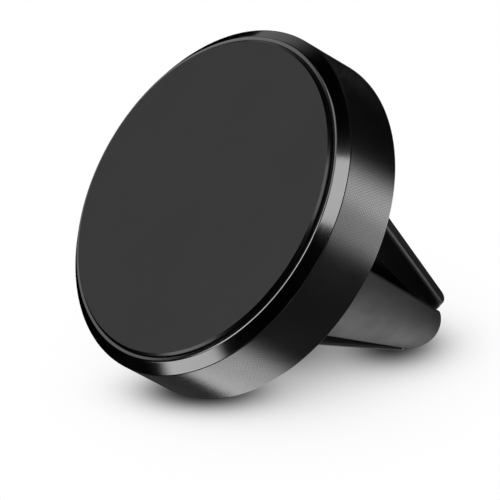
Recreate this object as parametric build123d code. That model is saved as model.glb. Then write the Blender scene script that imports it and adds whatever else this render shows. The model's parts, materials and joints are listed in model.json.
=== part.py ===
from build123d import *
import os
from math import atan, cos, radians, sin, sqrt

# Magnetic phone mount for a car's air vent, in millimetres.
# +Y runs along the mount's axis from the phone to the vent, +Z is up and +X is the driver's right.
# The origin is the centre of the front face of the pad, where the phone sits.

# ---- head ----
HEAD_R = 20.0            # outside radius of the textured wall
WALL_FRONT = 1.61        # where the textured wall starts
WALL_BACK = 8.79         # rear face of the head
RIM_FRONT = 0.48         # front of the rim, just behind the pad's face
RIM_OUT_R = 18.78        # the rim's outer edge, where the chamfer starts
RIM_FALL = 0.02          # the rim leans back this much towards its outer edge
RIM_IN_R = 18.30         # the cup's bore
RIM_IN_ROUND = 0.08
RIM_OUT_ROUND = 0.30
CHAMFER_R = 19.92        # the polished chamfer's outer edge
CHAMFER_BACK = 1.56
GROOVE_R = 19.89         # fine groove between the chamfer and the wall
GROOVE_Y = 1.585
BACK_BEVEL = 0.10
FLOOR_FRONT = 7.11       # inside face of the cup's floor
LAND_R = 10.6            # raised land that the swivel turns on
DISH_R = 17.4            # shallow dish turned into the rear face
DISH_DEPTH = 0.35
SNAP_Y = 5.45            # groove that keeps the magnet tray in
SNAP_H = 0.8
SNAP_DEPTH = 0.20

PAD_R = 18.25
PAD_T = 1.60
PAD_BEVEL = 0.25         # sloping edge round the pad's face
GLUE_R = 17.2
GLUE_T = 0.15

TRAY_R = 18.20
TRAY_WEB = 0.60
TRAY_EYE_R = 6.4         # room round the pivot screw's head
TRAY_SKIRT_R = 17.05
TRAY_SNAP_R = 18.42

MAGNET_R = 4.0
MAGNET_T = 3.0
MAGNET_COUNT = 6
MAGNET_RING_R = 11.4
MAGNET_POCKET_R = 4.05

IRON_R = 16.95
IRON_EYE_R = 5.4
IRON_T = 1.0

# ---- swivel ----
PIVOT_R = 2.50           # spigot of the hub that the head turns on
RUN = 0.05               # radial running clearance
GAP = 0.02               # end float between faces that slide on each other
BUSH_R = 3.50
BUSH_FLANGE_R = 5.50
BUSH_FLANGE_T = 0.60
SPIGOT_FRONT = 5.76
FLAT_WASHER_R = 4.50
FLAT_WASHER_T = 0.60
DISC_SPRING_R = 4.40
DISC_SPRING_T = 0.30
PAD_WASHER_R = 9.50      # friction washer between the head and the hub
PAD_WASHER_BORE_R = 4.20
HUB_FRONT = 9.15

M3_R = 1.50
M3_HEAD_R = 2.80
M3_HEAD_T = 1.65
M3_LENGTH = 8.0
M3_CLEAR_R = 1.60
M3_HEX = 2.0             # across the flats of the socket
M3_HEX_DEPTH = 1.0
INSERT_R = 2.30
INSERT_FRONT = 9.40
INSERT_GROOVE = 0.25
INSERT_GROOVE_W = 0.6

# ---- clip hub ----
HUB_R = 12.4
HUB_NECK_R = 9.8
HUB_NECK_BACK = 9.9
HUB_FLARE_BACK = 11.0
HUB_BACK = 12.6
HUB_ROUND = 0.5
GROOVE_DEPTH = 0.80      # leaf grooves in the hub's rear face
GROOVE_W = 4.0
GROOVE_IN_R = 6.2
GROOVE_OUT_R = 11.1

RETAINER_R = 8.0
RETAINER_T = 1.2
RETAINER_EYE_R = 1.9
RETAINER_ROUND = 0.3
SMALL_SCREW_COUNT = 4
SMALL_SCREW_RING_R = 5.4
SMALL_SCREW_R = 0.80
SMALL_SCREW_CLEAR_R = 0.90
SMALL_SCREW_HEAD_R = 1.50
SMALL_SCREW_HEAD_T = 0.90
SMALL_SCREW_ROUND = 0.30
SMALL_SCREW_SINK = 0.50
SMALL_SCREW_LENGTH = 3.0
SMALL_SLOT_W = 0.36
SMALL_SLOT_DEPTH = 0.45

# ---- fingers: four tapering tongues round the axis ----
FINGERS = {"upper_right": -45, "lower_right": 45, "lower_left": 135, "upper_left": -135}
REF_Y = 21.75            # where the next four sizes hold
REF_RADIUS = 8.74        # outer face to the axis
REF_HALF_W = 4.40
IN_SLOPE = 0.328         # how fast the outer face closes on the axis
SIDE_SLOPE = 0.110       # how fast each side edge closes on the middle
CROWN = 1.20             # the outer face's own radius over its distance to the axis
JAW_ROOT = 12.85
JAW_TIP = 36.56
OVERRUN = 0.5            # blanks run on past the tip before they are trimmed
JAW_ROOT_T = 4.60
JAW_TIP_T = 2.60
JAW_ROUND = 0.35
JAW_RELIEF_R = 8.45      # room for the retainer inside the fingers' roots
JAW_RELIEF_BACK = 14.9
TIP_SPARE = 0.08         # how far the tip's outline stands outside the slot faces
LEAF_T = 0.40
LEAF_W = 3.60
LEAF_TIP = 32.0
LEAF_DEPTH = 1.40        # under the finger's outer face
LEAF_BEND_R = 0.60
LEAF_FOOT_IN_R = 6.7
LEAF_CENTRE_Y = HUB_BACK - GROOVE_DEPTH + GAP + LEAF_T / 2
BEYOND = 14.0            # long enough to cut right through


def turned(points):
    """A solid turned about the mount's axis from (radius, y) corners."""
    return revolve(make_face(Polyline(*points, close=True)), Axis.Y)


def bar(radius, low, high, x=0.0, z=0.0):
    """A round bar along Y from y = low to y = high."""
    disc = Plane((x, low, z), x_dir=(1, 0, 0), z_dir=(0, 1, 0)) * Circle(radius)
    return extrude(disc, high - low)


def tube(outer, inner, low, high):
    return bar(outer, low, high) - bar(inner, low, high)


def around(count, radius, start=0.0):
    """Evenly spaced (x, z) places on a circle."""
    step = 360 / count
    angles = [radians(start + step * i) for i in range(count)]
    return [(radius * cos(a), radius * sin(a)) for a in angles]


def edges_at(solid, y, radius):
    """The circular edges of the given radius at height y."""
    near = 0.01
    rings = solid.edges().filter_by(GeomType.CIRCLE).filter_by_position(Axis.Y, y - near, y + near)
    return [edge for edge in rings if abs(edge.radius - radius) < near]


# ---- head ----
def head_shell():
    cup = turned([
        (BUSH_R, FLOOR_FRONT),
        (RIM_IN_R, FLOOR_FRONT),
        (RIM_IN_R, RIM_FRONT),
        (RIM_OUT_R, RIM_FRONT + RIM_FALL),
        (CHAMFER_R, CHAMFER_BACK),
        (GROOVE_R, GROOVE_Y),
        (HEAD_R, WALL_FRONT),
        (HEAD_R, WALL_BACK - BACK_BEVEL),
        (HEAD_R - BACK_BEVEL, WALL_BACK),
        (DISH_R, WALL_BACK),
        (DISH_R - DISH_DEPTH, WALL_BACK - DISH_DEPTH),
        (LAND_R + DISH_DEPTH, WALL_BACK - DISH_DEPTH),
        (LAND_R, WALL_BACK),
        (BUSH_R, WALL_BACK),
    ])
    cup -= tube(RIM_IN_R + SNAP_DEPTH, RIM_IN_R - SNAP_DEPTH, SNAP_Y, SNAP_Y + SNAP_H)
    cup = fillet(edges_at(cup, RIM_FRONT, RIM_IN_R), RIM_IN_ROUND)
    return fillet(edges_at(cup, RIM_FRONT + RIM_FALL, RIM_OUT_R), RIM_OUT_ROUND)


def phone_pad():
    pad = bar(PAD_R, 0, PAD_T)
    return chamfer(edges_at(pad, 0, PAD_R), PAD_BEVEL)


def pad_adhesive():
    return bar(GLUE_R, PAD_T, PAD_T + GLUE_T)


def magnet_front():
    return PAD_T + GLUE_T + TRAY_WEB


def magnet_back():
    return magnet_front() + MAGNET_T


def magnet_tray():
    front = PAD_T + GLUE_T
    tray = bar(TRAY_R, front, FLOOR_FRONT)
    tray += tube(TRAY_SNAP_R, TRAY_R - SNAP_DEPTH, SNAP_Y + GAP, SNAP_Y + SNAP_H / 2)
    tray -= bar(TRAY_SKIRT_R, magnet_back(), FLOOR_FRONT)
    tray -= bar(TRAY_EYE_R, magnet_front(), magnet_back())
    for x, z in around(MAGNET_COUNT, MAGNET_RING_R):
        tray -= bar(MAGNET_POCKET_R, magnet_front(), magnet_back(), x, z)
    return tray


def magnets():
    places = around(MAGNET_COUNT, MAGNET_RING_R)
    return Compound([bar(MAGNET_R, magnet_front(), magnet_back(), x, z) for x, z in places])


def back_iron():
    return tube(IRON_R, IRON_EYE_R, magnet_back(), magnet_back() + IRON_T)


def swivel_bush():
    return turned([
        (PIVOT_R + RUN, FLOOR_FRONT - BUSH_FLANGE_T),
        (BUSH_FLANGE_R, FLOOR_FRONT - BUSH_FLANGE_T),
        (BUSH_FLANGE_R, FLOOR_FRONT),
        (BUSH_R, FLOOR_FRONT),
        (BUSH_R, WALL_BACK),
        (PIVOT_R + RUN, WALL_BACK),
    ])


# ---- swivel parts that stay with the clip ----
def flat_washer():
    return tube(FLAT_WASHER_R, M3_CLEAR_R, SPIGOT_FRONT - FLAT_WASHER_T, SPIGOT_FRONT)


def disc_spring():
    """A coned spring washer: it presses the bush's flange, which gives the head its stiffness."""
    front = SPIGOT_FRONT + GAP
    back = FLOOR_FRONT - BUSH_FLANGE_T - GAP
    bore = PIVOT_R + 2 * RUN
    return turned([
        (bore, front),
        (DISC_SPRING_R, back - DISC_SPRING_T),
        (DISC_SPRING_R, back),
        (bore, front + DISC_SPRING_T),
    ])


def friction_washer():
    return tube(PAD_WASHER_R, PAD_WASHER_BORE_R, WALL_BACK + GAP, HUB_FRONT)


def pivot_screw():
    seat = SPIGOT_FRONT - FLAT_WASHER_T
    front = seat - M3_HEAD_T
    head = fillet(edges_at(bar(M3_HEAD_R, front, seat), front, M3_HEAD_R), M3_HEAD_T / 2)
    plane = Plane((0, front, 0), x_dir=(1, 0, 0), z_dir=(0, 1, 0))
    socket = extrude(plane * RegularPolygon(M3_HEX / sqrt(3), 6), M3_HEX_DEPTH)
    return head + bar(M3_R, seat, seat + M3_LENGTH) - socket


def threaded_insert():
    insert = tube(INSERT_R, M3_R, INSERT_FRONT, HUB_BACK)
    middle = (INSERT_FRONT + HUB_BACK) / 2
    low = middle - INSERT_GROOVE_W / 2
    return insert - tube(INSERT_R, INSERT_R - INSERT_GROOVE, low, low + INSERT_GROOVE_W)


# ---- clip hub ----
def small_screw_places():
    return around(SMALL_SCREW_COUNT, SMALL_SCREW_RING_R)


def clip_hub():
    hub = turned([
        (0, SPIGOT_FRONT),
        (PIVOT_R, SPIGOT_FRONT),
        (PIVOT_R, HUB_FRONT),
        (HUB_NECK_R, HUB_FRONT),
        (HUB_NECK_R, HUB_NECK_BACK),
        (HUB_R, HUB_FLARE_BACK),
        (HUB_R, HUB_BACK),
        (0, HUB_BACK),
    ])
    hub = fillet(edges_at(hub, HUB_FLARE_BACK, HUB_R) + edges_at(hub, HUB_BACK, HUB_R), HUB_ROUND)
    hub -= bar(M3_CLEAR_R, SPIGOT_FRONT, INSERT_FRONT)
    hub -= bar(INSERT_R, INSERT_FRONT, HUB_BACK)
    for x, z in small_screw_places():
        hub -= bar(SMALL_SCREW_R, HUB_BACK - SMALL_SCREW_LENGTH, HUB_BACK, x, z)
    length = GROOVE_OUT_R - GROOVE_IN_R
    groove = Box(length, GROOVE_DEPTH, GROOVE_W)
    middle = (GROOVE_OUT_R + GROOVE_IN_R) / 2
    groove = Pos(middle, HUB_BACK - GROOVE_DEPTH / 2, 0) * groove
    for turn in FINGERS.values():
        hub -= Rot(0, turn, 0) * groove
    return hub


def leaf_retainer():
    front = HUB_BACK
    back = HUB_BACK + RETAINER_T
    plate = bar(RETAINER_R, front, back)
    plate = fillet(edges_at(plate, back, RETAINER_R), RETAINER_ROUND)
    plate -= bar(RETAINER_EYE_R, front, back)
    for x, z in small_screw_places():
        plate -= bar(SMALL_SCREW_CLEAR_R, front, back, x, z)
        plate -= bar(SMALL_SCREW_HEAD_R + RUN, back - SMALL_SCREW_SINK, back, x, z)
    return plate


def small_screw(x, z):
    seat = HUB_BACK + RETAINER_T - SMALL_SCREW_SINK
    top = seat + SMALL_SCREW_HEAD_T
    head = bar(SMALL_SCREW_HEAD_R, seat, top)
    head = fillet(edges_at(head, top, SMALL_SCREW_HEAD_R), SMALL_SCREW_ROUND)
    screw = head + bar(SMALL_SCREW_R, HUB_BACK - SMALL_SCREW_LENGTH, seat)
    screw -= Pos(0, top, 0) * Box(2 * SMALL_SCREW_R, 2 * SMALL_SLOT_DEPTH, SMALL_SLOT_W)
    screw -= Pos(0, top, 0) * Box(SMALL_SLOT_W, 2 * SMALL_SLOT_DEPTH, 2 * SMALL_SCREW_R)
    return Pos(x, 0, z) * screw


def retainer_screws():
    return Compound([small_screw(x, z) for x, z in small_screw_places()])


# ---- fingers, drawn along +X and then turned to their corners ----
def outer_radius(y):
    """Distance from the axis to the finger's outer face."""
    return REF_RADIUS - IN_SLOPE * (y - REF_Y)


def half_width(y):
    return REF_HALF_W - SIDE_SLOPE * (y - REF_Y)


def jaw_thickness(y):
    return JAW_ROOT_T + (JAW_TIP_T - JAW_ROOT_T) * (y - JAW_ROOT) / (JAW_TIP - JAW_ROOT)


def crowned(low, high, inset):
    """An oblique cone whose +X side is the finger's outer face, or lies under it by inset(y)."""
    ends = []
    for y in (low, high):
        distance = outer_radius(y)
        plane = Plane(((1 - CROWN) * distance, y, 0), x_dir=(1, 0, 0), z_dir=(0, 1, 0))
        ends.append(plane * Circle(CROWN * distance - inset(y)))
    return loft(ends, ruled=True)


def tongue(low, tip, width_at):
    """The finger's outline seen from outside, cut straight through along X."""
    side = atan((width_at(low) - width_at(tip)) / (tip - low))
    tip_r = width_at(tip) * cos(side) / (1 - sin(side))
    touch_y = tip - tip_r + tip_r * sin(side)
    touch_z = tip_r * cos(side)
    outline = Curve() + [
        Line((touch_y, -touch_z), (low, -width_at(low))),
        Line((low, -width_at(low)), (low, width_at(low))),
        Line((low, width_at(low)), (touch_y, touch_z)),
        ThreePointArc((touch_y, touch_z), (tip, 0), (touch_y, -touch_z)),
    ]
    plane = Plane((0, 0, 0), x_dir=(0, 1, 0), z_dir=(1, 0, 0))
    return extrude(plane * make_face(outline), BEYOND)


def leaf_blank():
    """The steel leaf: a foot that lies in the hub's groove and an arm that runs up the finger."""
    lean = atan(IN_SLOPE)
    bend_x = outer_radius(LEAF_CENTRE_Y) - LEAF_DEPTH
    rise = LEAF_TIP - LEAF_CENTRE_Y
    path = FilletPolyline(
        (LEAF_FOOT_IN_R, LEAF_CENTRE_Y, 0),
        (bend_x, LEAF_CENTRE_Y, 0),
        (bend_x - rise * IN_SLOPE, LEAF_TIP, 0),
        radius=LEAF_BEND_R,
    )
    section = Plane(path @ 0, x_dir=(0, 0, 1), z_dir=path % 0) * Rectangle(LEAF_W, LEAF_T)
    strip = sweep(section, path)
    foot_side = Pos(LEAF_FOOT_IN_R, LEAF_CENTRE_Y, 0) * Box(BEYOND, LEAF_T * 2, LEAF_W)
    arm = tongue(HUB_BACK - GROOVE_DEPTH, LEAF_TIP, lambda y: LEAF_W / 2)
    return strip & (foot_side + arm)


def corner_wedge(low, high):
    """The quarter between the two blade slots, which narrow towards the tips."""
    ends = []
    for y in (low, high):
        distance = outer_radius(y)
        width = half_width(y)
        crown_r = CROWN * distance
        edge_x = distance - crown_r + sqrt(crown_r**2 - width**2)
        apex_x = edge_x - width
        plane = Plane((apex_x, y, 0), x_dir=(1, 0, 0), z_dir=(0, 1, 0))
        corners = [(0, 0), (BEYOND, -BEYOND), (BEYOND, BEYOND)]
        ends.append(plane * make_face(Polyline(*corners, close=True)))
    return loft(ends, ruled=True)


def finger_jaw():
    jaw = crowned(JAW_ROOT, JAW_TIP + OVERRUN, lambda y: 0)
    jaw -= crowned(JAW_ROOT, JAW_TIP + OVERRUN, jaw_thickness)
    jaw &= corner_wedge(JAW_ROOT, JAW_TIP + OVERRUN)
    jaw &= tongue(JAW_ROOT, JAW_TIP, lambda y: half_width(y) + TIP_SPARE)
    jaw -= bar(JAW_RELIEF_R, JAW_ROOT, JAW_RELIEF_BACK)
    jaw = fillet(jaw.edges(), JAW_ROUND)
    return jaw - leaf_blank()


def write(name, shape):
    shape.label = name
    export_step(shape, f"parts/{name}.step")


def main():
    os.makedirs("parts", exist_ok=True)
    makers = [
        head_shell, phone_pad, pad_adhesive, magnet_tray, magnets, back_iron, swivel_bush,
        flat_washer, disc_spring, friction_washer, pivot_screw, threaded_insert,
        clip_hub, leaf_retainer, retainer_screws,
    ]
    for maker in makers:
        write(maker.__name__, maker())
    jaw = finger_jaw()
    leaf = leaf_blank()
    for corner, turn in FINGERS.items():
        write("jaw_" + corner, Rot(0, turn, 0) * jaw)
        write("leaf_" + corner, Rot(0, turn, 0) * leaf)


main()
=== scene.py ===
import json
from math import atan2, ceil, cos, pi, radians, sin, tan

import bmesh
import bpy
from mathutils import Matrix, Vector

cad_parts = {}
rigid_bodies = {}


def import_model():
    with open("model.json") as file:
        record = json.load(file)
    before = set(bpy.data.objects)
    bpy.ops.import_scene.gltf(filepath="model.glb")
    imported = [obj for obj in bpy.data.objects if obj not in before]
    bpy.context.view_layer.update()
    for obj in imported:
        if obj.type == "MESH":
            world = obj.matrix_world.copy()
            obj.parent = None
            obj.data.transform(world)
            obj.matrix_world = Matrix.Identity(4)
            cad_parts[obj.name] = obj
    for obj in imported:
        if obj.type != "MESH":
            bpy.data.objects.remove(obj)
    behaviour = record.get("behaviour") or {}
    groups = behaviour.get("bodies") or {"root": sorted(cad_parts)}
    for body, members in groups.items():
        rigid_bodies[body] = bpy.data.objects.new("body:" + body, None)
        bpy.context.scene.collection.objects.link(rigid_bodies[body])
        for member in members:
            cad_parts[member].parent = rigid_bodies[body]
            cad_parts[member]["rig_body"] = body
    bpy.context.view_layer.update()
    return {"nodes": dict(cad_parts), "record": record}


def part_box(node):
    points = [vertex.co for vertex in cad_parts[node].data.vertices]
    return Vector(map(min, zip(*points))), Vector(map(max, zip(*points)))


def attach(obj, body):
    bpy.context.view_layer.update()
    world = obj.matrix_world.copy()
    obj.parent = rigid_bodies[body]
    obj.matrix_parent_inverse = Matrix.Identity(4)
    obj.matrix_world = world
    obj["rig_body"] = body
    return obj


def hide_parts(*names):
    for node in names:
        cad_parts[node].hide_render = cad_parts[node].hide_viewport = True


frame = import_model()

# A round magnetic phone head on a four-fingered vent clip. Metres, +Y from the phone to the vent.
MM = 0.001
nodes = frame["nodes"]
material_slot = {part["node"]: part["material_slot"] for part in frame["record"]["subparts"]}
STEPS = 384              # steps in a full turn of a turned piece
ARC_STEP = radians(11)   # largest turn between two points of a rounded edge


# ---------------------------------------------------------------- turned pieces
def rounded(corners):
    """Edges of a closed outline given as (radius, y, rounding) in mm, anticlockwise with radius to the right and y up.

    Each edge is (start, start normal, end, end normal); a rounded corner becomes several short edges."""
    points = [Vector(c[:2]) for c in corners]
    count = len(points)
    cuts = []
    for i, (point, corner) in enumerate(zip(points, corners)):
        before = (point - points[i - 1]).normalized()
        after = (points[(i + 1) % count] - point).normalized()
        turning = atan2(before.cross(after), before.dot(after))
        reach = corner[2] * tan(abs(turning) / 2)
        first = Vector((before.y, -before.x))
        steps = max(1, ceil(abs(turning) / ARC_STEP)) if corner[2] else 0
        side = 1 if turning > 0 else -1
        middle = point - before * reach - first * corner[2] * side
        arc = []
        for k in range(steps + 1):
            share = turning * k / steps if steps else 0.0
            normal = Vector((first.x * cos(share) - first.y * sin(share), first.x * sin(share) + first.y * cos(share)))
            arc.append((middle + normal * corner[2] * side, normal))
        cuts.append(arc)
    edges = []
    for i, arc in enumerate(cuts):
        edges += [(*a, *b) for a, b in zip(arc, arc[1:])]
        start, end = arc[-1][0], cuts[(i + 1) % count][0][0]
        flat = (end - start).normalized()
        edges.append((start, Vector((flat.y, -flat.x)), end, Vector((flat.y, -flat.x))))
    return edges


def lathe(name, corners, material, stands_for):
    """A finely stepped turned piece about the mount's axis that stands for a CAD node."""
    edges = rounded(corners)
    turns = [(cos(2 * pi * j / STEPS), sin(2 * pi * j / STEPS)) for j in range(STEPS)]
    rings, places, faces, normals = [], [], [], []
    for start, *_ in edges:
        on_axis = start.x < 1e-6
        rings.append((len(places), on_axis))
        for c, s in turns[:1] if on_axis else turns:
            places.append((start.x * MM * c, start.y * MM, start.x * MM * s))
    for i, (start, first, end, last) in enumerate(edges):
        (a, a_point), (b, b_point) = rings[i], rings[(i + 1) % len(edges)]
        if a_point and b_point:
            continue
        for j in range(STEPS):
            k = (j + 1) % STEPS
            loop = [(a, a_point, j, first), (b, b_point, j, last), (b, b_point, k, last), (a, a_point, k, first)]
            if a_point:
                loop.pop()
            if b_point:
                loop.pop(2)
            faces.append([base if single else base + turn for base, single, turn, _ in loop])
            normals += [(n.x * turns[t][0], n.y, n.x * turns[t][1]) for _, _, t, n in loop]
    mesh = bpy.data.meshes.new(name)
    mesh.from_pydata(places, [], faces)
    mesh.shade_smooth()
    mesh.normals_split_custom_set(normals)
    mesh.materials.append(material)
    made = bpy.data.objects.new(name, mesh)
    bpy.context.scene.collection.objects.link(made)
    original = nodes[stands_for]
    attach(made, original["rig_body"])
    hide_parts(stands_for)
    return made


# ---------------------------------------------------------------- shader helpers
class Look:
    """A material under construction: short calls that each add one node and return its output."""

    def __init__(self, name, ior=1.5):
        self.material = bpy.data.materials.new(name)
        self.material.use_nodes = True
        self.tree = self.material.node_tree
        self.shader = self.tree.nodes["Principled BSDF"]
        self.shader.inputs["IOR"].default_value = ior
        self.place = self.add("ShaderNodeTexCoord")
        self.position = self.place.outputs["Object"]
        split = self.add("ShaderNodeSeparateXYZ")
        self.put(split, "Vector", self.position)
        self.x = split.outputs["X"]
        self.y = split.outputs["Y"]
        self.z = split.outputs["Z"]

    def add(self, kind, **settings):
        made = self.tree.nodes.new(kind)
        for key, value in settings.items():
            setattr(made, key, value)
        return made

    def put(self, made, socket, value):
        if isinstance(value, bpy.types.NodeSocket):
            self.tree.links.new(value, made.inputs[socket])
        else:
            made.inputs[socket].default_value = value

    def math(self, operation, *values):
        made = self.add("ShaderNodeMath", operation=operation)
        for index, value in enumerate(values):
            self.put(made, index, value)
        return made.outputs[0]

    def ramp(self, value, low, high, start=0.0, end=1.0):
        """Smooth change from start to end while value goes from low to high."""
        made = self.add("ShaderNodeMapRange", interpolation_type="SMOOTHSTEP")
        for socket, amount in (("Value", value), ("From Min", low), ("From Max", high),
                               ("To Min", start), ("To Max", end)):
            self.put(made, socket, amount)
        return made.outputs["Result"]

    def band(self, value, low, high, soft):
        """1 between low and high, 0 outside, with soft edges."""
        rise = self.ramp(value, low - soft, low + soft)
        fall = self.ramp(value, high - soft, high + soft, 1.0, 0.0)
        return self.math("MULTIPLY", rise, fall)

    def noise(self, size, detail=3.0, vector=None):
        """Noise whose features are about size metres across."""
        made = self.add("ShaderNodeTexNoise")
        self.put(made, "Scale", 1.0 / size)
        self.put(made, "Detail", detail)
        self.put(made, "Vector", vector or self.position)
        return made.outputs["Fac"]

    def join(self, x, y, z=0.0):
        made = self.add("ShaderNodeCombineXYZ")
        self.put(made, "X", x)
        self.put(made, "Y", y)
        self.put(made, "Z", z)
        return made.outputs["Vector"]

    def mix(self, factor, a, b):
        made = self.add("ShaderNodeMix", data_type="FLOAT")
        self.put(made, "Factor", factor)
        self.put(made, "A", a)
        self.put(made, "B", b)
        return made.outputs["Result"]

    def blend(self, factor, a, b):
        """Mixes two colours given as (r, g, b) or as sockets."""
        made = self.add("ShaderNodeMix", data_type="RGBA")
        self.put(made, "Factor", factor)
        for socket, colour in (("A", a), ("B", b)):
            whole = colour if isinstance(colour, bpy.types.NodeSocket) else (*colour, 1.0)
            found = [s for s in made.inputs if s.name == socket and s.type == "RGBA"][0]
            if isinstance(whole, bpy.types.NodeSocket):
                self.tree.links.new(whole, found)
            else:
                found.default_value = whole
        return [s for s in made.outputs if s.type == "RGBA"][0]

    def bump(self, height, depth):
        """Bump of the given depth in metres, added to the bumps already there."""
        made = self.add("ShaderNodeBump")
        self.put(made, "Strength", 1.0)
        self.put(made, "Distance", depth)
        self.put(made, "Height", height)
        last = self.shader.inputs["Normal"].links
        if last:
            self.put(made, "Normal", last[0].from_socket)
        self.put(self.shader, "Normal", made.outputs["Normal"])

    def surface(self, colour, roughness):
        found = self.shader.inputs["Base Color"]
        if isinstance(colour, bpy.types.NodeSocket):
            self.tree.links.new(colour, found)
        else:
            found.default_value = (*colour, 1.0)
        self.put(self.shader, "Roughness", roughness)

    def radius(self):
        """Distance from the mount's axis."""
        squares = self.math("ADD", self.math("MULTIPLY", self.x, self.x),
                            self.math("MULTIPLY", self.z, self.z))
        return self.math("SQRT", squares)

    def turn(self):
        """Angle round the mount's axis, in radians."""
        return self.math("ARCTAN2", self.x, self.z)


# ---------------------------------------------------------------- sizes that the looks refer to, in mm
HEAD_R = 20.0
HEAD_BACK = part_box("head_shell")[1][1] / MM
WALL_R = 19.995          # the textured wall
WALL_FRONT = 1.61
RIM_IN_R = 18.30
RIM_IN_ROUND = 0.08
RIM_FRONT = 0.48
RIM_OUT_R = 18.78
RIM_OUT_ROUND = 0.45
RIM_FALL = 0.02          # the rim leans back this much towards its outer edge
CHAMFER_R = 19.92
CHAMFER_BACK = 1.56
GROOVE_R = 19.89         # the fine groove between the chamfer and the wall
GROOVE_Y = 1.585
FLOOR_FRONT = 7.11       # the inside of the cup's floor
FLOOR_ROUND = 0.10
BORE_R = 3.50            # the hole for the swivel bush
BACK_BEVEL = 0.10
RECESS_OUT_R = 17.40     # the shallow ring in the rear face
RECESS_IN_R = 10.60
RECESS_DEPTH = 0.35
RECESS_ROUND = 0.06
EDGE_ROUND = 0.04        # along the head's rear edge
WALL_ROUND = 0.02        # where the groove meets the wall
PAD_R = 18.25
PAD_T = 1.60
PAD_BEVEL = 0.25
PAD_ROUND = 0.08
PAD_BACK_ROUND = 0.10
HATCH = 0.36             # pitch round the wall of its fine crossed grooves
HATCH_SLANT = 0.72       # how far the grooves run round the wall for each unit along it
HATCH_DEPTH = 0.0033


# ---------------------------------------------------------------- materials
def anodised_shell():
    look = Look("anodised_aluminium", ior=1.9)
    radius = look.radius()
    along = look.math("MULTIPLY", look.turn(), HEAD_R * MM)
    on_wall = look.band(look.y, (WALL_FRONT + 0.08) * MM, (HEAD_BACK - 0.18) * MM, 0.02 * MM)
    on_side = look.ramp(radius, (WALL_R - 0.05) * MM, (WALL_R - 0.02) * MM)
    textured = look.math("MULTIPLY", on_wall, on_side)
    near_back = look.ramp(look.y, (HEAD_BACK - 0.8) * MM, (HEAD_BACK - 0.5) * MM)
    turned_back = look.math("MULTIPLY", near_back, look.ramp(radius, 19.6 * MM, 19.7 * MM, 1.0, 0.0))

    # crossed diagonal grooves on the wall
    waves = []
    for sign in (1.0, -1.0):
        slanted = look.math("ADD", along, look.math("MULTIPLY", look.y, sign * HATCH_SLANT))
        wave = look.math("SINE", look.math("MULTIPLY", slanted, pi / (HATCH * MM)))
        waves.append(look.math("ABSOLUTE", wave))
    hatch = look.math("MINIMUM", waves[0], waves[1])
    uneven = look.ramp(look.noise(0.8 * MM, 2.0), 0.3, 0.7, 0.6, 1.0)
    look.bump(look.math("MULTIPLY", look.math("MULTIPLY", hatch, textured), uneven), HATCH_DEPTH * MM)

    # concentric turning marks on the rear face
    rings = look.noise(0.09 * MM, 2.0, look.join(radius, 0.0))
    look.bump(look.math("MULTIPLY", rings, turned_back), 0.006 * MM)

    # fine scratches and handling haze on the polished parts
    hair = look.noise(0.35 * MM, 4.0, look.join(look.math("MULTIPLY", along, 0.06), radius, look.y))
    haze = look.noise(6 * MM, 3.0)
    polished = look.math("ADD", look.ramp(haze, 0.35, 0.75, 0.10, 0.15), look.ramp(hair, 0.55, 0.8, 0.0, 0.05))
    satin = look.math("ADD", look.ramp(haze, 0.3, 0.7, 0.18, 0.21), look.ramp(hatch, 0.0, 0.5, 0.06, 0.0))
    turned = look.ramp(rings, 0.3, 0.7, 0.24, 0.40)
    roughness = look.mix(textured, polished, satin)
    roughness = look.mix(turned_back, roughness, turned)

    # painted edge highlights: lighter lines, broken up by noise, along the outer edges (the chamfer's back edge and the
    # rear edge)
    edge = look.band(look.y, (CHAMFER_BACK - 0.05) * MM, (CHAMFER_BACK + 0.01) * MM, 0.02 * MM)
    rear = look.band(look.y, (HEAD_BACK - 0.16) * MM, (HEAD_BACK - 0.08) * MM, 0.03 * MM)
    painted_edge_highlight = look.math("MULTIPLY", look.math("MAXIMUM", edge, rear), look.ramp(look.noise(2.5 * MM), 0.4, 0.7))
    colour = look.blend(look.ramp(haze, 0.3, 0.7), (0.0006, 0.0006, 0.0007), (0.0016, 0.0016, 0.0018))
    # the ridges of the crossed grooves are painted lighter: a painted highlight on the ridges
    painted_ridge_highlight = look.math("MULTIPLY", textured, look.ramp(hatch, 0.25, 0.60))
    colour = look.blend(painted_ridge_highlight, colour, (0.005, 0.005, 0.005))
    colour = look.blend(painted_edge_highlight, colour, (0.012, 0.012, 0.013))
    back = look.blend(look.ramp(rings, 0.3, 0.7), (0.013, 0.013, 0.014), (0.022, 0.022, 0.023))
    colour = look.blend(turned_back, colour, back)
    look.surface(colour, roughness)
    in_groove = look.band(look.y, (CHAMFER_BACK + 0.01) * MM, (WALL_FRONT + 0.02) * MM, 0.005 * MM)
    valleys = look.math("MULTIPLY", textured, look.ramp(hatch, 0.15, 0.50, 1.0, 0.0))
    look.put(look.shader, "Specular IOR Level", look.mix(in_groove, look.ramp(valleys, 0.0, 1.0, 0.5, 0.43), 0.03))
    return look.material


def pad_silicone():
    look = Look("pad_silicone", ior=1.41)
    grain = look.noise(0.07 * MM, 2.0)
    cloud = look.noise(9 * MM, 3.0)
    edge = look.ramp(look.radius(), (PAD_R - PAD_BEVEL - 0.03) * MM, (PAD_R - PAD_BEVEL + 0.01) * MM)
    look.bump(grain, 0.004 * MM)
    colour = look.blend(look.ramp(cloud, 0.3, 0.7), (0.0108, 0.0108, 0.0111), (0.0123, 0.0123, 0.0126))
    colour = look.blend(edge, colour, (0.001, 0.001, 0.001))
    look.surface(colour, look.mix(edge, look.ramp(cloud, 0.3, 0.7, 0.62, 0.70), 0.22))
    return look.material


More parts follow.
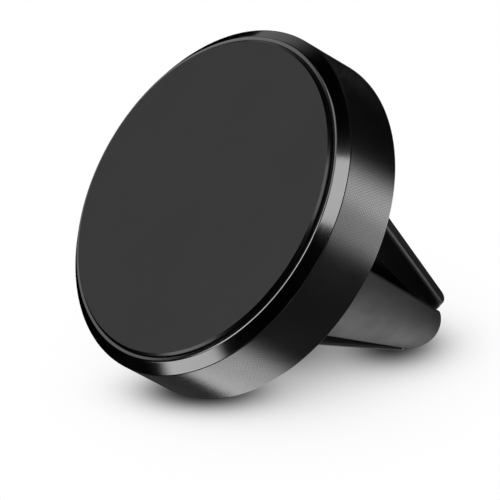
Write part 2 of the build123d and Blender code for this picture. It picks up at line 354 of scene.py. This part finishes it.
def jaw_elastomer():
    look = Look("jaw_elastomer", ior=1.52)
    grain = look.noise(0.10 * MM, 3.0)
    cloud = look.noise(3.5 * MM, 3.0)
    look.bump(grain, 0.006 * MM)
    facing = look.add("ShaderNodeSeparateXYZ")
    look.put(facing, "Vector", look.place.outputs["Normal"])
    sideways = [look.math("ABSOLUTE", facing.outputs[axis]) for axis in "XZ"]
    slot_face = look.ramp(look.math("MAXIMUM", *sideways), 0.95, 0.975)
    colour = look.blend(look.ramp(cloud, 0.3, 0.7), (0.0012, 0.0012, 0.0013), (0.0024, 0.0024, 0.0025))
    # the faces looking into the slots between the jaws are painted darker: painted shade in the narrow slots
    colour = look.blend(slot_face, colour, (0.0006, 0.0006, 0.0006))
    look.surface(colour, look.mix(slot_face, look.ramp(cloud, 0.3, 0.7, 0.40, 0.48), 0.65))
    look.put(look.shader, "Specular IOR Level", look.ramp(look.y, 26 * MM, 35.5 * MM, 0.5, 0.35))
    return look.material


def moulded_nylon():
    look = Look("moulded_nylon", ior=1.53)
    spark = look.noise(0.14 * MM, 4.0)
    cloud = look.noise(4 * MM, 2.0)
    look.bump(spark, 0.012 * MM)
    colour = look.blend(look.ramp(cloud, 0.3, 0.7), (0.020, 0.020, 0.0205), (0.028, 0.028, 0.0285))
    look.surface(colour, look.ramp(spark, 0.35, 0.65, 0.42, 0.56))
    return look.material


def turned_metal(name, light, dark, low, high):
    """Metal with concentric tool marks about the mount's axis."""
    look = Look(name)
    rings = look.noise(0.07 * MM, 2.0, look.join(look.radius(), 0.0))
    stain = look.noise(1.6 * MM, 3.0)
    look.bump(rings, 0.003 * MM)
    look.put(look.shader, "Metallic", 1.0)
    look.surface(look.blend(look.ramp(stain, 0.3, 0.7), light, dark), look.ramp(rings, 0.3, 0.7, low, high))
    return look.material


def acetal():
    look = Look("acetal", ior=1.48)
    grain = look.noise(0.2 * MM, 3.0)
    look.bump(grain, 0.003 * MM)
    look.surface(look.blend(grain, (0.50, 0.50, 0.47), (0.58, 0.58, 0.56)), look.ramp(grain, 0.3, 0.7, 0.35, 0.5))
    return look.material


def tape():
    look = Look("double_sided_tape", ior=1.45)
    fibre = look.noise(0.3 * MM, 4.0)
    look.bump(fibre, 0.01 * MM)
    look.surface(look.blend(fibre, (0.45, 0.44, 0.40), (0.6, 0.6, 0.57)), look.ramp(fibre, 0.3, 0.7, 0.5, 0.7))
    return look.material


def dress_nodes():
    """Gives every CAD node the material of what it is made of."""
    dark, mid, bright = (0.05, 0.05, 0.055), (0.30, 0.31, 0.34), (0.42, 0.43, 0.46)
    finish = {
        "anodised_shell": anodised_shell(),
        "pad_rubber": pad_silicone(),
        "adhesive": tape(),
        "black_nylon": moulded_nylon(),
        "nickel": turned_metal("nickel_plate", (0.66, 0.64, 0.60), (0.58, 0.56, 0.53), 0.10, 0.20),
        "yoke_steel": turned_metal("zinc_plated_steel", (0.55, 0.56, 0.58), (0.42, 0.43, 0.44), 0.28, 0.42),
        "acetal": acetal(),
        "brass": turned_metal("turned_brass", (0.72, 0.52, 0.22), (0.58, 0.40, 0.16), 0.22, 0.36),
        "screw_steel": turned_metal("black_zinc_steel", (0.10, 0.10, 0.105), dark, 0.25, 0.40),
        "spring_steel": turned_metal("spring_steel", bright, mid, 0.22, 0.36),
        "jaw_rubber": jaw_elastomer(),
    }
    for node, slot in material_slot.items():
        data = nodes[node].data
        data.materials.clear()
        data.materials.append(finish[slot])
    return finish


# ---------------------------------------------------------------- finely turned head pieces
def head_pieces(finish):
    """The cup and the pad, whose edges carry the highlights, in finer steps than the CAD meshes."""
    recess_floor = HEAD_BACK - RECESS_DEPTH
    lathe("shell_turned", [
        (BORE_R, FLOOR_FRONT, 0), (RIM_IN_R, FLOOR_FRONT, FLOOR_ROUND), (RIM_IN_R, RIM_FRONT, RIM_IN_ROUND),
        (RIM_OUT_R, RIM_FRONT + RIM_FALL, RIM_OUT_ROUND), (CHAMFER_R, CHAMFER_BACK, 0), (GROOVE_R, GROOVE_Y, 0),
        (WALL_R, WALL_FRONT, WALL_ROUND), (WALL_R, HEAD_BACK - BACK_BEVEL, EDGE_ROUND),
        (HEAD_R - BACK_BEVEL, HEAD_BACK, EDGE_ROUND), (RECESS_OUT_R, HEAD_BACK, RECESS_ROUND),
        (RECESS_OUT_R - RECESS_DEPTH, recess_floor, RECESS_ROUND),
        (RECESS_IN_R + RECESS_DEPTH, recess_floor, RECESS_ROUND), (RECESS_IN_R, HEAD_BACK, RECESS_ROUND),
        (BORE_R, HEAD_BACK, 0),
    ][::-1], finish["anodised_shell"], "head_shell")
    lathe("pad_turned", [
        (0, 0, 0), (PAD_R - PAD_BEVEL, 0, PAD_ROUND), (PAD_R, PAD_BEVEL, PAD_ROUND),
        (PAD_R, PAD_T, PAD_BACK_ROUND), (0, PAD_T, 0),
    ], finish["pad_rubber"], "phone_pad")


# ---------------------------------------------------------------- camera, light and floor
VIEW_BACK = Vector((0.66905, -0.65091, -0.35874)).normalized()
VIEW_UP = Vector((0.13813, -0.36538, 0.92055))
VIEW_DISTANCE = 0.5369
VIEW_LENS = 360.0
AIM_RIGHT = 7.9e-3       # where the head's wall starts, seen from the camera, over the distance
AIM_DOWN = 9.7e-3
LIGHT_DISTANCE = 0.30
LIGHT_CENTRE = Vector((0.0, 0.012, 0.0))
FLOOR_R = 0.30
FLOOR_LEVEL = radians(10)     # the camera's height above the floor
FLOOR_ROLL = radians(4.3)
# contact shadows: middle on the floor (right, away), reach (right, away), all in mm, slant and strength
SHADOWS = (
    ((-8.9, -1.8), (3.4, 5.7), 0.15, 7.2),
    ((12.4, 15.2), (3.2, 7.2), 0.0, 4.3),
    ((0.5, 19.7), (6.9, 18.0), 0.0, 2.0),
)
SHADOW_FALL = 1.3        # how fast the shadows end beyond their reach
# soft boxes: name, first and last direction (right, up, towards the camera), width, radiance, the shares of the
# length that fade at its two ends, and the group of pieces that it is kept to
LIGHTS = (
    ("above", (0.045, 0.757, 0.652), (-0.082, 0.325, 0.942), 0.12, 4.1),                             # chamfer, right
    ("left_below", (-0.705, -0.511, 0.522), (-0.857, -0.503, -0.135), 0.16, 3.7, (0.20, 0.23)),      # chamfer, low
    ("right_side", (0.915, 0.310, -0.255), (0.907, -0.401, 0.131), 0.12, 1.95, (0.25, 0.25)),        # wall, right
    ("right_hot", (0.965, 0.215, -0.150), (0.999, -0.090, 0.045), 0.10, 1.5, (0.3, 0.4)),            # wall, right
    ("right_low", (0.870, -0.470, 0.130), (0.400, -0.910, -0.100), 0.12, 0.045),                     # wall, dark part
    ("low_back", (0.310, -0.935, -0.160), (-0.098, -0.680, -0.727), 0.10, 2.4, (0.3, 0.15)),         # wall, low
    ("under_back", (-0.110, -0.640, -0.760), (-0.090, -0.200, -0.975), 0.10, 0.06),                  # wall, lowest
    ("far_left", (-0.871, 0.483, -0.081), (-0.674, 0.375, -0.636), 0.16, 0.9),                       # rim, flat
    ("rim_strip", (-0.930, -0.050, 0.300), (-0.650, 0.500, 0.550), 0.12, 4.5),                       # rim's edge, low
    ("rim_top", (-0.765, 0.615, 0.170), (-0.300, 0.800, 0.520), 0.17, 1.6),                          # rim's edge, right
    ("rim_fill", (-0.780, 0.610, -0.170), (-0.400, 0.820, -0.360), 0.10, 0.75, (0.0, 0.2)),          # rim's edge, top
    ("rim_join", (-0.420, 0.780, -0.460), (-0.200, 0.780, -0.600), 0.07, 0.45),                      # rim's edge, top
    ("behind_top", (-0.163, 0.600, -0.780), (-0.020, 0.955, -0.280), 0.08, 0.42, (0.0, 0.6)),        # chamfer, top
    ("rear_top", (0.150, 0.850, -0.500), (0.500, 0.620, -0.600), 0.12, 1.5),                         # the other sides
    ("rear_left", (-0.450, 0.150, -0.880), (-0.550, -0.300, -0.780), 0.16, 2.5, (0, 0), "clip_pieces"),
    ("side_right", (0.700, -0.300, 0.650), (0.840, -0.350, 0.420), 0.12, 1.5),
    ("finger_edge", (0.853, -0.520, 0.052), (0.970, 0.152, -0.192), 0.14, 3.2, (0, 0), "far_finger"),
    ("finger_fill", (0.750, -0.450, -0.600), (0.300, -0.600, -0.800), 0.16, 1.90, (0.12, 0.0)),      # front finger
)


def camera_axes():
    back = VIEW_BACK
    right = VIEW_UP.cross(back).normalized()
    up = back.cross(right).normalized()
    return right, up, back


def camera():
    right, up, back = camera_axes()
    data = bpy.data.cameras.new("camera")
    data.lens = VIEW_LENS
    data.sensor_width = 36.0
    data.clip_start = 0.01
    data.clip_end = 20.0
    made = bpy.data.objects.new("camera", data)
    offset = back + right * AIM_RIGHT - up * AIM_DOWN
    place = Vector((0.0, WALL_FRONT * MM, 0.0)) + offset * VIEW_DISTANCE
    made.matrix_world = Matrix.Translation(place) @ Matrix((right, up, back)).transposed().to_4x4()
    bpy.context.scene.collection.objects.link(made)
    bpy.context.scene.camera = made


def softbox(name, first, last, across, radiance, soft=(0.0, 0.0), only_on=None):
    """A rectangular light that only shows in reflections.

    It spans from direction first to direction last, each (right, up, towards the camera), and is across wide.
    Its two ends fade over the given shares of its length. It can be kept to one group of pieces."""
    axes = camera_axes()
    ends = [sum((axis * part for axis, part in zip(axes, end)), Vector()).normalized() * LIGHT_DISTANCE
            for end in (first, last)]
    centre = (ends[0] + ends[1]) / 2
    length = (ends[1] - ends[0]).length
    along = (ends[1] - ends[0]).normalized()
    outward = centre.normalized()
    data = bpy.data.lights.new(name, "AREA")
    data.shape = "RECTANGLE"
    data.size = length
    data.size_y = across
    data.energy = radiance * pi * length * across
    if any(soft):
        fade_ends(data, *soft)
    made = bpy.data.objects.new(name, data)
    turn = Matrix((along, outward.cross(along), outward)).transposed().to_4x4()
    made.matrix_world = Matrix.Translation(LIGHT_CENTRE + centre) @ turn
    made.visible_camera = False
    made.visible_diffuse = False
    if only_on:
        made.light_linking.receiver_collection = bpy.data.collections[only_on]
    bpy.context.scene.collection.objects.link(made)


def fade_ends(data, first, last):
    """Makes a light fade at both ends of its length."""
    data.use_nodes = True
    tree = data.node_tree
    where = tree.nodes.new("ShaderNodeNewGeometry").outputs["Parametric"]
    split = tree.nodes.new("ShaderNodeSeparateXYZ")
    tree.links.new(where, split.inputs[0])
    strength = tree.nodes["Emission"].inputs["Strength"]
    shares = []
    for low, high in ((0.0, max(first, 1e-3)), (1.0, 1.0 - max(last, 1e-3))):
        ramp = tree.nodes.new("ShaderNodeMapRange")
        ramp.interpolation_type = "SMOOTHSTEP"
        ramp.inputs["From Min"].default_value = low
        ramp.inputs["From Max"].default_value = high
        tree.links.new(split.outputs["X"], ramp.inputs["Value"])
        shares.append(ramp.outputs["Result"])
    product = tree.nodes.new("ShaderNodeMath")
    product.operation = "MULTIPLY"
    for index, share in enumerate(shares):
        tree.links.new(share, product.inputs[index])
    tree.links.new(product.outputs[0], strength)


def world():
    made = bpy.data.worlds.new("studio")
    made.use_nodes = True
    background = made.node_tree.nodes["Background"]
    background.inputs["Color"].default_value = (1.0, 1.0, 1.0, 1.0)
    background.inputs["Strength"].default_value = 1.0
    made.cycles_visibility.glossy = False
    bpy.context.scene.world = made


def floor():
    """A pale floor under the mount as it lies in front of the camera, with soft contact shadows.

    It has no back, fades out before its edge and only shows along the camera's own line of sight, because
    it would stand at a slant in the other views."""
    right, up, back = camera_axes()
    across = right * cos(FLOOR_ROLL) + up * sin(FLOOR_ROLL)
    normal = back.cross(across).normalized() * cos(FLOOR_LEVEL) + back * sin(FLOOR_LEVEL)
    lowest = min(v.co.dot(normal) for o in nodes.values() for v in o.data.vertices)
    mesh = bpy.data.meshes.new("floor")
    form = bmesh.new()
    bmesh.ops.create_circle(form, cap_ends=True, segments=96, radius=FLOOR_R)
    form.to_mesh(mesh)
    form.free()
    made = bpy.data.objects.new("floor", mesh)
    place = LIGHT_CENTRE + normal * (lowest - LIGHT_CENTRE.dot(normal))
    turn = Matrix((across, normal.cross(across), normal)).transposed().to_4x4()
    made.matrix_world = Matrix.Translation(place) @ turn
    made.visible_glossy = False
    bpy.context.scene.collection.objects.link(made)
    look = Look("floor")
    depth = 0.0
    for (x, y), (width, length), slant, strength in SHADOWS:
        away = look.math("SUBTRACT", look.y, y * MM)
        aside = look.math("ADD", look.math("SUBTRACT", look.x, x * MM), look.math("MULTIPLY", away, slant))
        far = [look.math("DIVIDE", value, reach * MM) for value, reach in ((aside, width), (away, length))]
        squares = look.math("ADD", *[look.math("MULTIPLY", value, value) for value in far])
        fall = look.math("MULTIPLY", look.math("POWER", squares, SHADOW_FALL / 2), -1.0)
        fall = look.math("EXPONENT", fall)
        depth = look.math("ADD", look.math("MULTIPLY", fall, strength), depth)
    light = look.math("EXPONENT", look.math("MULTIPLY", depth, -1.0))
    emission = look.add("ShaderNodeEmission")
    look.put(emission, "Color", look.join(light, light, light))
    squares = look.math("ADD", look.math("MULTIPLY", look.x, look.x), look.math("MULTIPLY", look.y, look.y))
    fade = look.ramp(look.math("SQRT", squares), FLOOR_R * 0.6, FLOOR_R * 0.95)
    geometry = look.add("ShaderNodeNewGeometry")
    line = look.add("ShaderNodeVectorMath", operation="DOT_PRODUCT")
    look.put(line, 0, geometry.outputs["Incoming"])
    look.put(line, 1, VIEW_BACK)
    elsewhere = look.ramp(line.outputs["Value"], 0.95, 0.98, 1.0, 0.0)
    behind = look.math("MAXIMUM", geometry.outputs["Backfacing"], elsewhere)
    hidden = look.add("ShaderNodeBsdfTransparent")
    both = look.add("ShaderNodeMixShader")
    look.put(both, 0, look.math("MAXIMUM", fade, behind))
    look.tree.links.new(emission.outputs[0], both.inputs[1])
    look.tree.links.new(hidden.outputs[0], both.inputs[2])
    look.tree.links.new(both.outputs[0], look.tree.nodes["Material Output"].inputs["Surface"])
    mesh.materials.append(look.material)


def group(name, members):
    """A named collection of CAD nodes that a light can be kept to."""
    made = bpy.data.collections.new(name)
    for node in members:
        made.objects.link(nodes[node])


def studio():
    world()
    camera()
    floor()
    group("clip_pieces", [node for node in nodes if node not in ("head_shell", "phone_pad")])
    group("far_finger", ["jaw_upper_right"])
    for light in LIGHTS:
        softbox(*light)


finish = dress_nodes()
head_pieces(finish)
studio()
bpy.context.scene.view_settings.view_transform = "Standard"
